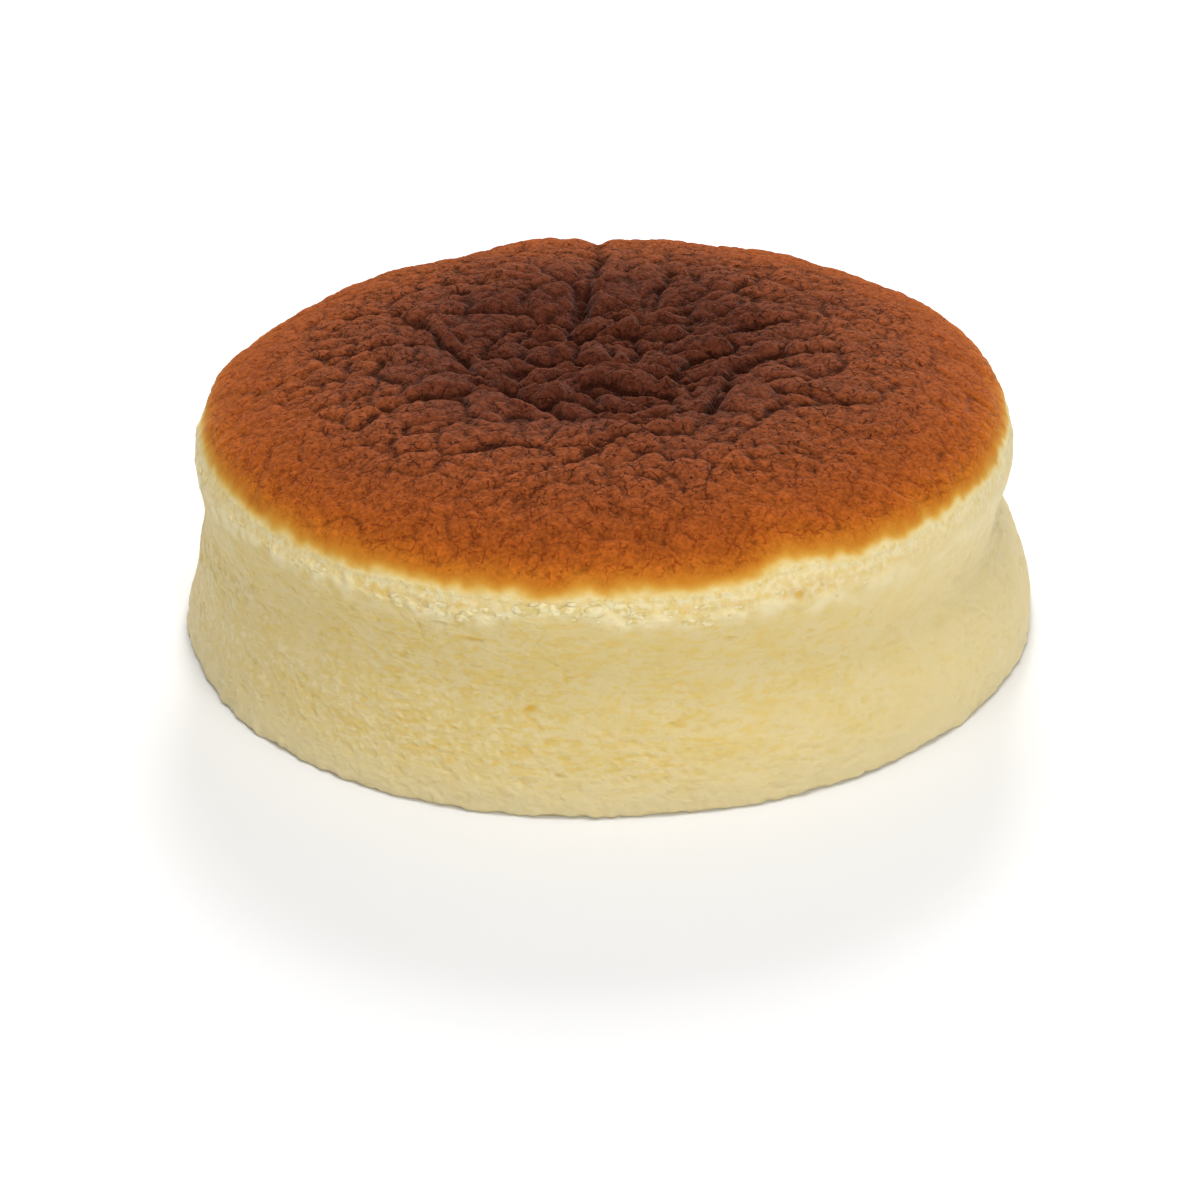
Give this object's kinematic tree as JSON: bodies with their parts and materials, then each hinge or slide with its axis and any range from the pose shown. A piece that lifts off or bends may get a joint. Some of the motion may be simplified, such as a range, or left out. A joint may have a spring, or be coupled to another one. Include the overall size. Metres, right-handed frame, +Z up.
{
  "type": "jiggly cheesecake",
  "caption": "Tall round soft cheesecake, whole and uncut: pale springy sides drawn in at a waist, and a browned crown with soft lumps, creases and a sunken middle.",
  "frame": {"origin": "middle of the flat base, on the surface the cake stands on", "axes": "+Z up through the middle of the crown; -Y towards the side where the pale band under the browned skin is tallest"},
  "size_m": [0.181, 0.179, 0.0599],
  "materials": {
    "baked_cake": "matte, soft and moist; browned skin on the crown, pale custard yellow on the side"
  },
  "bodies": {
    "root": {"cheesecake": "baked_cake"}
  },
  "joints": []
}
